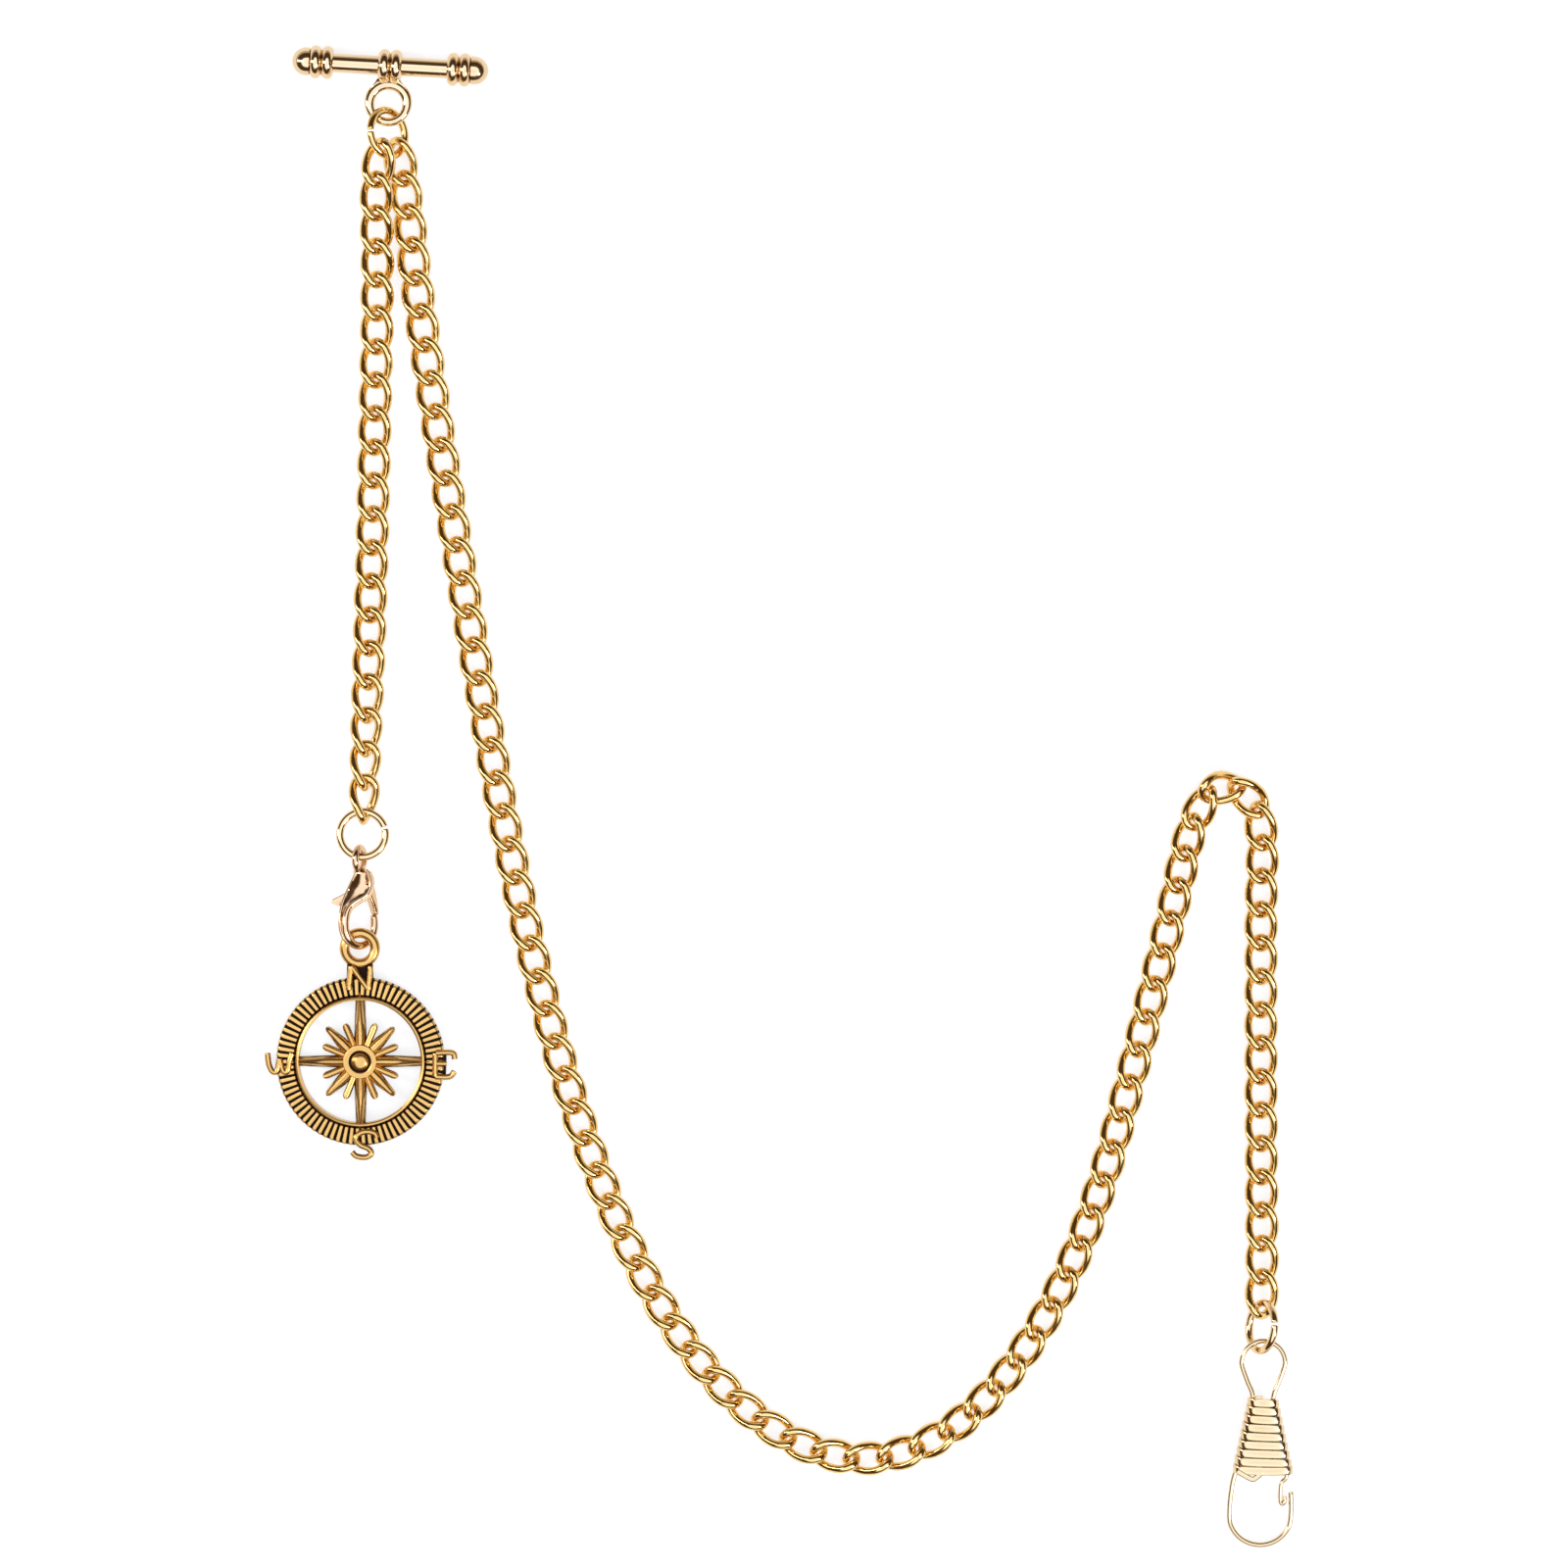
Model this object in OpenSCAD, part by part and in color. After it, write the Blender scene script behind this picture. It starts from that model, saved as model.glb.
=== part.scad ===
// Double Albert pocket watch chain, laid out flat: a T-bar, a fob strand with a clasp and a compass charm,
// and a long main strand that ends in a wound-wire clip for the watch. +X right, +Y towards the T-bar, +Z up.

/* [Curb chain] */
// Diameter of the chain's wire
wire_d = 1.1; // [1:0.02:1.12]
// Half of a link's length, crown to crown along the wire's centre
link_half_l = 2.8; // [2.76:0.02:2.86]
// Half of a link's width, at the wire's centre
link_half_w = 1.65; // [1.6:0.01:1.7]
// Twist of a link's crown about the chain's length
link_twist = 48; // [46:1:52]

/* [Rings] */
// Diameter of the jump rings' wire
ring_wire_d = 1; // [0.9:0.02:1.04]
// Centreline radius of the ring that both strands hang from
top_ring_r = 2.95; // [2.9:0.01:3]
// Centreline radius of the ring above the clasp
fob_ring_r = 2.9; // [2.86:0.02:2.94]
// Centreline radius of the ring above the watch clip
watch_ring_r = 3.05; // [3:0.01:3.1]

/* [T-bar] */
// Length over the two domed ends
t_bar_l = 25; // [24:0.5:28]
// Diameter of the plain rod
t_bar_rod_d = 2.4; // [2.2:0.1:2.6]
// Diameter over the ribs
t_bar_rib_d = 4.3; // [4:0.1:4.5]

/* [Clasp] */
// Thickness of the clasp's body
clasp_t = 2.6; // [2.4:0.1:2.8]
// Thickness of the gate between the body's cheeks
gate_t = 1; // [0.8:0.05:1.1]

/* [Compass charm] */
// Outer radius of the ridged ring
charm_r = 10.75; // [10:0.25:11]
// Inner radius of the ring
charm_inner_r = 7.8; // [7.4:0.1:8]
// Thickness of the casting
charm_t = 1.5; // [1.2:0.1:1.8]

/* [Watch clip] */
// Diameter of the clip's frame wire
clip_wire_d = 0.66; // [0.5:0.02:0.7]
// Number of turns in the winding
clip_turns = 9; // [7:1:10]
// Thickness of the winding, front to back
clip_t = 2.6; // [2.4:0.1:3]

/* [Hidden] */
// first link of each rigid run, and one past the last link
fob_runs = [0, 1, 4, 7, 10, 13, 16, 18, 20];
main_runs = concat([0, 1], [for (k = [4:3:64]) k], [65, 66, 67, 68, 69, 70], [for (k = [72:3:84]) k]);

// How links lie: [link number, [x, y, z], [roll, tilt, heading]], and evenly between the listed links.
fob_laid = [
    [0, [-50.9, 80.2, 3.7], [5.5, 2.5, -99]], [1, [-51.2, 76, 3.35], [2.5, 6, -91]],
    [2, [-51.2, 71.8, 2.8], [2.5, 9, -90]], [3, [-51.15, 67.6, 2.05], [0.5, 9.5, -88.5]],
    [4, [-51.2, 63.35, 1.55], [0, 4.5, -90]], [5, [-51.25, 59.1, 1.35], [0, 0.5, -90.5]],
    [6, [-51.35, 54.85, 1.35], [0, 0, -91]], [12, [-51.9, 29.25, 1.35], [0, 0, -91.5]],
    [13, [-52.05, 24.95, 1.35], [-2.5, 0, -91.5]], [14, [-52.15, 20.7, 1.4], [-8.5, -1, -91.5]],
    [15, [-52.3, 16.4, 1.5], [-15, -1.5, -91.5]], [16, [-52.45, 12.15, 1.6], [-21.5, -1.5, -92]],
    [19, [-52.85, -0.7, 2], [-40.5, -1.5, -92]]];
main_laid_first = [
    [0, [-48.25, 80.45, 1.4], [6.5, 2.5, -78]], [1, [-47.55, 76.25, 1.3], [2, 0.5, -83]],
    [2, [-47, 72.05, 1.3], [2, 1, -82]], [3, [-46.55, 67.8, 1.3], [0, -1, -83.5]],
    [4, [-46, 63.6, 1.35], [0, 0, -82]], [5, [-45.4, 59.35, 1.35], [0, 0, -82]]];
main_laid_last = [
    [63, [50.35, -13.7, 1.35], [-5, -0.5, 77.5]], [64, [51.25, -9.6, 1.45], [-10.5, -1.5, 78]],
    [65, [52.2, -5.55, 1.6], [-16.5, -2.5, 75.5]], [66, [53.7, -1.75, 2.05], [-19, -8.5, 62]],
    [67, [56.35, 0.8, 2], [-6.5, 18, 10.5]], [68, [59.75, -0.4, 1.65], [11, 8.5, -44.5]],
    [69, [61.35, -4.1, 1.55], [17.5, 1.5, -81.5]], [70, [61.55, -8.3, 1.5], [13.5, 1.5, -91.5]],
    [71, [61.45, -12.6, 1.4], [8, 1, -91.5]], [72, [61.4, -16.85, 1.35], [3.5, 0, -90]],
    [73, [61.4, -21.1, 1.35], [0, 0, -90]], [77, [61.4, -38.15, 1.35], [0, 0, -90]],
    [79, [61.45, -46.65, 1.45], [0, -1, -89.5]], [82, [61.5, -59.4, 1.75], [0, -1.5, -90]],
    [83, [61.45, -63.65, 1.95], [0, -3.5, -92]]];
// the long curve between them: where its first link starts, then pitch and heading by link number
curve_start = [-45.1, 57.2];
curve_height = 1.35;
curve_pitch = [[37, 4.3], [38, 4.26], [48, 4.26], [49, 4.3]];
curve_heading = [[6, -81.5], [8, -81], [14, -80.5], [18, -80], [22, -78], [26, -75], [29, -71.5], [32, -67], [34, -62],
    [36, -55], [38, -46], [40, -33], [41, -24], [42, -12], [43, 2], [44, 16], [45, 28], [46, 38], [47, 46],
    [48, 52], [50, 60], [52, 67], [54, 72], [56, 75], [62, 76.5]];

t_bar_at = [-49.5, 92.65, 2.2];
t_bar_turn = -3.1;
t_ring_at = [-49.75, 87.9, 2.2];
t_ring_r = 2.4;
t_ring_wire_d = 1.1;
finial_l = 5.25;
socket_depth = 2.5;
rib_w = 1.5;
top_ring_at = [-49.8, 84.05, 2.65];
top_ring_turn = [-5.5, 45.5, 1.5];
fob_ring_at = [-53, -5.15, 2.35];
fob_ring_turn = [-5.5, -0.5, 1];
watch_ring_at = [61.4, -67.8, 3.2];
watch_ring_turn = [-6.5, -61.5, 0];

clasp_at = [-53.35, -16.85, 2.3];
clasp_turn = [1.5, 45.5, -1];
hook_r = 2.5;
hook_wire_d = 1;
pivot_at = [0.5, 5.5];
rivet_r = 0.35;

charm_at = [-53.3, -34.05, 0.7];
charm_turn = [2.5, -3, 0];
bail_at = 14.45;
bail_r = 1.95;
bail_wire_d = 1.3;

clip_at = [61.6, -86.6];
clip_pitch = 6;
clip_low_y = -9.3;
winding_l = 9.9;
winding_top_w = 4;
winding_bottom_w = 7.7;

wire_sides = 6;
link_rings = 16;

function run_name(stem, i) = str(stem, i < 10 ? "0" : "", i);
function unit(v) = v / norm(v);

// A link's centreline is a full oval whose crowns are twisted about its length, one each way.
oval_power = 2 / 2.4;
function soften(c) = sign(c) * pow(abs(c), oval_power);
function link_point(a) =
    let (x = link_half_l * soften(cos(a)), y = link_half_w * soften(sin(a)), t = -link_twist * x / link_half_l)
    [x, y * cos(t), y * sin(t)];
function link_side(a) =
    let (t = -link_twist * soften(cos(a)))
    [0, -sin(t), cos(t)];

// Points round a wire of radius r that follows centre points p, with s a direction across the wire at each point.
function wire_points(p, s, r, closed) =
    [for (i = [0:len(p) - 1])
        let (next = closed ? (i + 1) % len(p) : min(i + 1, len(p) - 1),
            last = closed ? (i + len(p) - 1) % len(p) : max(i - 1, 0),
            t = unit(p[next] - p[last]), u = unit(cross(t, s[i])), w = cross(u, t))
        for (j = [0:wire_sides - 1])
            p[i] + r * (cos(360 * j / wire_sides) * u + sin(360 * j / wire_sides) * w)];
function wire_faces(n, closed) =
    concat(
        [for (i = [0:(closed ? n : n - 1) - 1]) for (j = [0:wire_sides - 1])
            let (a = i * wire_sides + j, b = i * wire_sides + (j + 1) % wire_sides,
                c = (i + 1) % n * wire_sides + j, d = (i + 1) % n * wire_sides + (j + 1) % wire_sides)
            each [[a, b, d], [a, d, c]]],
        closed ? [] : [[for (j = [wire_sides - 1:-1:0]) j], [for (j = [0:wire_sides - 1]) (n - 1) * wire_sides + j]]);

// Where a listed link lies, from the rows either side of it.
function laid(k, rows) =
    let (i = max([for (j = [0:len(rows) - 1]) if (rows[j][0] <= k) j]), a = rows[i], b = rows[min(i + 1, len(rows) - 1)],
        f = b[0] == a[0] ? 0 : (k - a[0]) / (b[0] - a[0]))
    [a[1] + f * (b[1] - a[1]), a[2] + f * (b[2] - a[2])];

// The curve's links each span from one joint point to the next.
curve_first = 6;
curve_last = 62;
function along(k) = lookup(k, curve_pitch) * [cos(lookup(k, curve_heading)), sin(lookup(k, curve_heading))];
curve_joints = [for (k = curve_first, p = curve_start; k <= curve_last + 1; p = p + along(k), k = k + 1) p];
function on_curve(k) =
    let (p = curve_joints[k - curve_first] + along(k) / 2)
    [[p[0], p[1], curve_height], [0, 0, lookup(k, curve_heading)]];
function main_link(k) = k < curve_first ? laid(k, main_laid_first) : k > curve_last ? laid(k, main_laid_last) : on_curve(k);

module wire(p, s, r, closed = false) {
    polyhedron(points = wire_points(p, s, r, closed), faces = wire_faces(len(p), closed), convexity = 4);
}

module curb_link() {
    // angles are closer together at the crowns, where the wire bends most
    angles = [for (i = [0:link_rings - 1]) 360 * i / link_rings + 360 / link_rings / 2];
    wire([for (a = angles) link_point(a)], [for (a = angles) link_side(a)], wire_d / 2, closed = true);
}

module link_at(place) {
    translate(place[0]) rotate(place[1]) curb_link();
}

module fob_run(i) {
    color("goldenrod")
        for (k = [fob_runs[i - 1]:fob_runs[i] - 1]) link_at(laid(k, fob_laid));
}

module main_run(i) {
    color("goldenrod")
        for (k = [main_runs[i - 1]:main_runs[i] - 1]) link_at(main_link(k));
}

// An open ring of round wire in the XY plane, with its gap centred on angle gap_at.
module open_ring(r, d, gap_at, gap = 10) {
    rotate(gap_at + gap / 2)
        rotate_extrude(angle = 360 - gap, $fn = 64)
            translate([r, 0]) circle(d = d, $fn = 32);
}

module on_t_bar() {
    translate(t_bar_at) rotate([0, 0, t_bar_turn]) rotate([0, 90, 0]) children();
}

module t_bar_rod() {
    rod_l = t_bar_l - 2 * (finial_l - socket_depth);
    color("wheat")
        on_t_bar() cylinder(h = rod_l, d = t_bar_rod_d, center = true, $fn = 48);
}

module rib(z) {
    translate([t_bar_rib_d / 2 - rib_w / 2, z]) circle(d = rib_w, $fn = 32);
}

module finial() {
    dome_r = 1.8;
    rotate_extrude($fn = 64)
        difference() {
            union() {
                intersection() {
                    translate([0, finial_l - dome_r]) circle(r = dome_r, $fn = 64);
                    square([dome_r, finial_l]);
                }
                square([dome_r - 0.15, finial_l - dome_r]);
                rib(rib_w / 2);
                rib(rib_w * 1.5);
            }
            square([t_bar_rod_d / 2, socket_depth]);
        }
}

module t_bar_left_finial() {
    color("wheat")
        on_t_bar() translate([0, 0, -(t_bar_l / 2 - finial_l)]) mirror([0, 0, 1]) finial();
}

module t_bar_right_finial() {
    color("wheat")
        on_t_bar() translate([0, 0, t_bar_l / 2 - finial_l]) finial();
}

module t_bar_collar() {
    color("wheat")
        on_t_bar()
            rotate_extrude($fn = 64)
                difference() {
                    union() {
                        translate([0, -rib_w]) square([t_bar_rod_d / 2 + 0.45, 2 * rib_w]);
                        rib(-rib_w / 2);
                        rib(rib_w / 2);
                    }
                    translate([0, -2 * rib_w]) square([t_bar_rod_d / 2, 4 * rib_w]);
                }
}

module t_bar_ring() {
    color("wheat")
        translate(t_ring_at)
            rotate_extrude($fn = 64) translate([t_ring_r, 0]) circle(d = t_ring_wire_d, $fn = 32);
}

module top_jump_ring() {
    color("goldenrod")
        translate(top_ring_at) rotate(top_ring_turn) open_ring(top_ring_r, ring_wire_d, 175);
}

module fob_jump_ring() {
    color("wheat")
        translate(fob_ring_at) rotate(fob_ring_turn) open_ring(fob_ring_r, ring_wire_d, 15);
}

module watch_jump_ring() {
    color("wheat")
        translate(watch_ring_at) rotate(watch_ring_turn) open_ring(watch_ring_r, ring_wire_d, 10);
}

module on_clasp() {
    translate(clasp_at) rotate(clasp_turn) children();
}

module clasp_body() {
    neck_y = 7.2;
    eye_r = 1.45;
    eye_wire_d = 0.9;
    color("tan")
        on_clasp() {
            difference() {
                translate([0, 0, -clasp_t / 2])
                    linear_extrude(clasp_t)
                        polygon([[-3, 0], [-3, 2.2], [-1.4, neck_y], [0.9, neck_y], [1.7, 5.4], [0.8, 4.3],
                            [-1, 2.6], [-1.9, 0.9], [-1.95, 0]]);
                // slot that the gate swings in, open on both sides
                translate([-4, 2.9, -gate_t / 2 - 0.1]) cube([8, 3.7, gate_t + 0.2]);
                translate([pivot_at[0], pivot_at[1], 0]) cylinder(r = rivet_r, h = 2 * clasp_t, center = true, $fn = 32);
            }
            rotate(178) rotate_extrude(angle = 192, $fn = 64) translate([hook_r, 0]) circle(d = hook_wire_d, $fn = 32);
            translate([-0.25, neck_y + 1.35, 0]) rotate([0, 25, 0])
                rotate_extrude($fn = 48) translate([eye_r, 0]) circle(d = eye_wire_d, $fn = 32);
        }
}

module clasp_rivet() {
    color("tan")
        on_clasp() translate([pivot_at[0], pivot_at[1], 0]) cylinder(r = rivet_r, h = clasp_t + 0.2, center = true, $fn = 32);
}

module clasp_gate() {
    color("tan")
        on_clasp()
            difference() {
                translate([0, 0, -gate_t / 2])
                    linear_extrude(gate_t)
                        polygon([[-3.9, 3.9], [-3.7, 4.9], [-0.6, 5.2], [0, 6.2], [1.1, 6.2], [1.5, 5.2], [2.75, 1.9],
                            [2.2, 1.6], [1.2, 3.4], [0.4, 4.6], [-1, 4.4]]);
                translate([pivot_at[0], pivot_at[1], 0]) cylinder(r = rivet_r + 0.04, h = 4, center = true, $fn = 32);
            }
}

module clasp_spring() {
    color("silver")
        on_clasp() translate([-0.6, 6.28, 0]) rotate([0, 90, 30])
            rotate_extrude($fn = 32) translate([0.2, 0]) circle(d = 0.18, $fn = 16);
}

module on_charm() {
    translate(charm_at) rotate(charm_turn) children();
}

// A straight letter stroke from a to b on the casting's face.
module stroke(a, b, h) {
    v = b - a;
    translate([a[0], a[1], 0]) rotate(atan2(v[1], v[0]))
        translate([-0.35, -0.35, 0]) cube([norm(v) + 0.7, 0.7, h]);
}

module strokes(points, h) {
    for (i = [0:len(points) - 2]) stroke(points[i], points[i + 1], h);
}

module compass_charm() {
    letter_h = charm_t + 0.35;
    hub_r = 2.2;
    color("darkgoldenrod")
        on_charm() {
            difference() {
                cylinder(r = charm_r, h = charm_t, $fn = 96);
                translate([0, 0, -1]) cylinder(r = charm_inner_r, h = charm_t + 2, $fn = 96);
            }
            // four long points, four shorter ones and eight petals
            linear_extrude(charm_t - 0.2)
                for (i = [0:15]) {
                    tip = i % 4 == 0 ? charm_inner_r + 1.1 : i % 2 == 0 ? 6 : 5.1;
                    half_w = i % 4 == 0 ? 0.75 : 0.62;
                    rotate(22.5 * i) polygon([[0, -half_w], [tip - 0.3, -0.3], [tip, 0], [tip - 0.3, 0.3], [0, half_w]]);
                }
            cylinder(r = hub_r, h = charm_t + 0.3, $fn = 48);
            // N on the plate that carries the bail, then W, E and S
            translate([-1.45, 8.6, 0]) cube([2.9, 4, charm_t]);
            strokes([[-1.4, 9.1], [-1.4, 12.3], [1.4, 9.1], [1.4, 12.3]], letter_h);
            strokes([[-11.9, 1.6], [-11.5, -1.4], [-10.3, 0], [-9.2, -1.4], [-8.8, 1.6]], letter_h);
            strokes([[12, 1.6], [9.6, 1.6], [9.6, -1.6], [12, -1.6]], letter_h);
            stroke([9.6, 0], [11.4, 0], letter_h);
            strokes([[1.4, -9.6], [0, -9.1], [-1.3, -9.9], [1.3, -11.5], [0, -12.4], [-1.5, -12]], letter_h);
            translate([0, bail_at, charm_t / 2])
                rotate_extrude($fn = 64) translate([bail_r, 0]) circle(d = bail_wire_d, $fn = 32);
        }
}

module on_clip() {
    translate([clip_at[0], clip_at[1] + clip_low_y, clip_wire_d / 2 + 0.1])
        rotate([clip_pitch, 0, 0])
            translate([0, -clip_low_y, 0])
                children();
}

module clip_frame() {
    eye_r = 2.75;
    eye_y = winding_l + 4.5;
    leg = 1.05;
    leg_turn = 50;
    // from the right leg's end inside the winding, round the eye and the left leg, then round the hook
    path = concat(
        [[leg + 0.1, 1], [leg, winding_l]],
        [for (a = [-leg_turn:20:180 + leg_turn]) [eye_r * cos(a), eye_y + eye_r * sin(a)]],
        [[-leg, winding_l], [-2.2, 3], [-3.55, 0], [-4, -2.2], [-4.2, -4.2]],
        [for (a = [190:17.5:347.5]) [3.95 * cos(a) - 0.3, -5.3 + 3.9 * sin(a)]],
        [[3.65, -4.6], [3.6, -2.3]]);
    color("khaki")
        on_clip() wire([for (q = path) [q[0], q[1], 0]], [for (q = path) [0, 0, 1]], clip_wire_d / 2 * 1.05);
}

// A flat band's outline: straight front and back, round ends.
module band_outline(w, t) {
    square([w - t, t], center = true);
    for (s = [-1, 1]) translate([s * (w - t) / 2, 0]) circle(d = t, $fn = 48);
}

module clip_winding() {
    wall = 0.5;
    turn_h = winding_l / clip_turns;
    color("khaki")
        on_clip()
            for (i = [0:clip_turns - 1]) {
                w = winding_bottom_w + (winding_top_w - winding_bottom_w) * i / (clip_turns - 1);
                translate([0, (i + 1) * turn_h, 0]) rotate([90, 0, 0])
                    linear_extrude(turn_h)
                        difference() {
                            band_outline(w, clip_t);
                            band_outline(w - 2 * wall, clip_t - 2 * wall);
                        }
            }
}

module clip_latch() {
    path = [[2.3, 1.6], [2.9, 0.3], [3, -0.5], [2.35, -1.3], [2.3, -3.5], [2.55, -3.9]];
    color("khaki")
        on_clip() wire([for (q = path) [q[0], q[1], 0]], [for (q = path) [0, 0, 1]], 0.27);
}

t_bar_rod();
t_bar_left_finial();
t_bar_right_finial();
t_bar_collar();
t_bar_ring();
top_jump_ring();
for (i = [1:len(fob_runs) - 1])
    fob_run(i);
fob_jump_ring();
clasp_body();
clasp_rivet();
clasp_gate();
clasp_spring();
compass_charm();
for (i = [1:len(main_runs) - 1])
    main_run(i);
watch_jump_ring();
clip_frame();
clip_winding();
clip_latch();
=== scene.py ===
"""Looks for a double Albert watch chain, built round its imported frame: gilt curb links, rings, T-bar, clasp, charm and clip."""

import math

import bmesh
import bpy
from bpy.props import FloatProperty, FloatVectorProperty, IntProperty, PointerProperty
from mathutils import Euler, Matrix, Vector


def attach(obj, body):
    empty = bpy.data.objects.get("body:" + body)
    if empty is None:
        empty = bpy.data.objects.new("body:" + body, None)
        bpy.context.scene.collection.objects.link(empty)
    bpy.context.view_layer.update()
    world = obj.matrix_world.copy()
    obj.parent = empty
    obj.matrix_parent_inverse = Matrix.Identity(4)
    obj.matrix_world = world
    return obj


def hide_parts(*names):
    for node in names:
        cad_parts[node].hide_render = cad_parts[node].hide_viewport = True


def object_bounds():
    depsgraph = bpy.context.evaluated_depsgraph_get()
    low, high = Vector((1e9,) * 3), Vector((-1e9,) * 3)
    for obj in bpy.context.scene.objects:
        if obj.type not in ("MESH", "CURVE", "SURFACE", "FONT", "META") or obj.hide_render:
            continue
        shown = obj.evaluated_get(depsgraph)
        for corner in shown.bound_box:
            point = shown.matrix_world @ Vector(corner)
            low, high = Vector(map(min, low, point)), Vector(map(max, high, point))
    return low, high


bl_info = {
    "name": "Albert Watch Chain",
    "version": (1, 0, 0),
    "blender": (4, 5, 0),
    "location": "3D View > Sidebar > Watch Chain",
    "description": "Builds the gilt links, rings, T-bar, clasp, compass charm and watch clip of a double Albert chain",
    "category": "Add Mesh",
}

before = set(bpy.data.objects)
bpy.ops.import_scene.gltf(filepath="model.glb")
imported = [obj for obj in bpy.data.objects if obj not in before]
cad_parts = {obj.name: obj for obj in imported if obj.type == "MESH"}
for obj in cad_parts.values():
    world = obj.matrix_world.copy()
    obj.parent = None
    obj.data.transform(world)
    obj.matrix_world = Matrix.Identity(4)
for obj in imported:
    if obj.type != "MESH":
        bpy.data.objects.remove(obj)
frame_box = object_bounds()
MM = 0.001

# How the links lie, in millimetres and degrees: link number, place, then turn as (roll, tilt, heading).
FOB_LAID = [
    (0, (-50.9, 80.2, 3.7), (5.5, 2.5, -99)), (1, (-51.2, 76, 3.35), (2.5, 6, -91)), (2, (-51.2, 71.8, 2.8), (2.5, 9, -90)),
    (3, (-51.15, 67.6, 2.05), (0.5, 9.5, -88.5)), (4, (-51.2, 63.35, 1.55), (0, 4.5, -90)),
    (5, (-51.25, 59.1, 1.35), (0, 0.5, -90.5)), (6, (-51.35, 54.85, 1.35), (0, 0, -91)),
    (12, (-51.9, 29.25, 1.35), (0, 0, -91.5)), (13, (-52.05, 24.95, 1.35), (-2.5, 0, -91.5)),
    (14, (-52.15, 20.7, 1.4), (-8.5, -1, -91.5)), (15, (-52.3, 16.4, 1.5), (-15, -1.5, -91.5)),
    (16, (-52.45, 12.15, 1.6), (-21.5, -1.5, -92)), (19, (-52.85, -0.7, 2), (-40.5, -1.5, -92)),
]
MAIN_FIRST = [
    (0, (-48.25, 80.45, 1.4), (6.5, 2.5, -78)), (1, (-47.55, 76.25, 1.3), (2, 0.5, -83)), (2, (-47, 72.05, 1.3), (2, 1, -82)),
    (3, (-46.55, 67.8, 1.3), (0, -1, -83.5)), (4, (-46, 63.6, 1.35), (0, 0, -82)), (5, (-45.4, 59.35, 1.35), (0, 0, -82)),
]
MAIN_LAST = [
    (63, (50.35, -13.7, 1.35), (-5, -0.5, 77.5)), (64, (51.25, -9.6, 1.45), (-10.5, -1.5, 78)),
    (65, (52.2, -5.55, 1.6), (-16.5, -2.5, 75.5)), (66, (53.7, -1.75, 2.05), (-19, -8.5, 62)),
    (67, (56.35, 0.8, 2), (-6.5, 18, 10.5)), (68, (59.75, -0.4, 1.65), (11, 8.5, -44.5)),
    (69, (61.35, -4.1, 1.55), (17.5, 1.5, -81.5)), (70, (61.55, -8.3, 1.5), (13.5, 1.5, -91.5)),
    (71, (61.45, -12.6, 1.4), (8, 1, -91.5)), (72, (61.4, -16.85, 1.35), (3.5, 0, -90)), (73, (61.4, -21.1, 1.35), (0, 0, -90)),
    (77, (61.4, -38.15, 1.35), (0, 0, -90)), (79, (61.45, -46.65, 1.45), (0, -1, -89.5)),
    (82, (61.5, -59.4, 1.75), (0, -1.5, -90)), (83, (61.45, -63.65, 1.95), (0, -3.5, -92)),
]
CURVE_START, CURVE_HEIGHT, CURVE_FIRST, CURVE_LAST = (-45.1, 57.2), 1.35, 6, 62
CURVE_PITCH = [(37, 4.3), (38, 4.26), (48, 4.26), (49, 4.3)]
CURVE_HEADING = [
    (6, -81.5), (8, -81), (14, -80.5), (18, -80), (22, -78), (26, -75), (29, -71.5), (32, -67), (34, -62), (36, -55), (38, -46),
    (40, -33), (41, -24), (42, -12), (43, 2), (44, 16), (45, 28), (46, 38), (47, 46), (48, 52), (50, 60), (52, 67), (54, 72),
    (56, 75), (62, 76.5),
]
FOB_RUNS = [0, 1, 4, 7, 10, 13, 16, 18, 20]
MAIN_RUNS = [0, 1, *range(4, 65, 3), 65, 66, 67, 68, 69, 70, *range(72, 85, 3)]


# ---- sizes and colours a user may change ----

class ChainSizes(bpy.types.PropertyGroup):
    wire_d: FloatProperty(name="Link wire", description="Diameter of a curb link's wire", default=0.00108, unit="LENGTH")
    half_l: FloatProperty(name="Half length", description="Half of a link, crown to crown, at the wire's centre",
                          default=0.0028, unit="LENGTH")
    half_w: FloatProperty(name="Half width", description="Half of a link's width at the wire's centre", default=0.00165,
                          unit="LENGTH")
    twist: FloatProperty(name="Twist", description="Twist of each crown about the chain's length", default=math.radians(48),
                         subtype="ANGLE")
    link_rings: IntProperty(name="Rings per link", description="Sections round one link", default=32, min=12, max=48)
    ring_wire_d: FloatProperty(name="Jump ring wire", description="Diameter of the jump rings' wire", default=0.001,
                               unit="LENGTH")
    colour: FloatVectorProperty(name="Chain gold", description="Colour of the chain's plate", default=(0.88, 0.63, 0.26),
                                subtype="COLOR")
    ring_colour: FloatVectorProperty(name="Ring gold", description="Colour of the jump rings' plate",
                                     default=(0.85, 0.65, 0.38), subtype="COLOR")


class TBarSizes(bpy.types.PropertyGroup):
    length: FloatProperty(name="Length", description="Length over the domed ends", default=0.025, unit="LENGTH")
    rod_d: FloatProperty(name="Rod", description="Diameter of the plain rod", default=0.0024, unit="LENGTH")
    rib_d: FloatProperty(name="Ribs", description="Diameter over the ribs", default=0.00428, unit="LENGTH")
    dome_d: FloatProperty(name="Domes", description="Diameter of the domed ends", default=0.0036, unit="LENGTH")
    colour: FloatVectorProperty(name="T-bar gold", description="Colour of the T-bar's plate", default=(0.82, 0.65, 0.43),
                                subtype="COLOR")


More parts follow.
